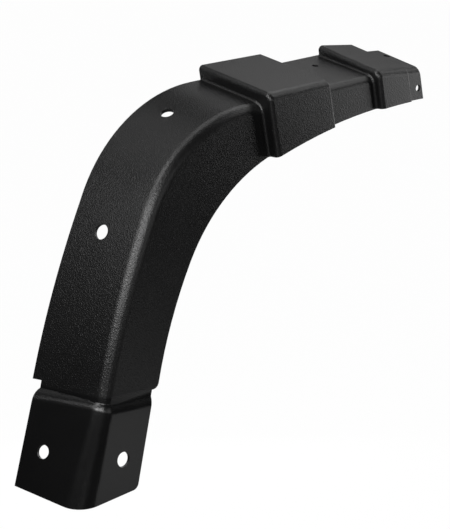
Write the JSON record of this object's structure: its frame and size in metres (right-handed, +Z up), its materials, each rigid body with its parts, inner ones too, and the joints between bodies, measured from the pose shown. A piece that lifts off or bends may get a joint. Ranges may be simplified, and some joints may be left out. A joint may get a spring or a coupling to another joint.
{
  "type": "all-terrain vehicle fender flare",
  "caption": "Black moulded all-terrain vehicle fender flare: an L-section arch over the wheel with a foot tab, raised blocks, small tabs and bolt holes.",
  "frame": {"origin": "centre of the foot's lip hole, on the outer face of the foot's lip", "axes": "+X along the vehicle from the foot towards the far end, +Y inboard, +Z up"},
  "size_m": [0.4415, 0.0986, 0.3811],
  "materials": {
    "plastic": "black, with a fine pebble grain"
  },
  "bodies": {
    "root": {"fender_flare": "plastic"}
  },
  "joints": []
}
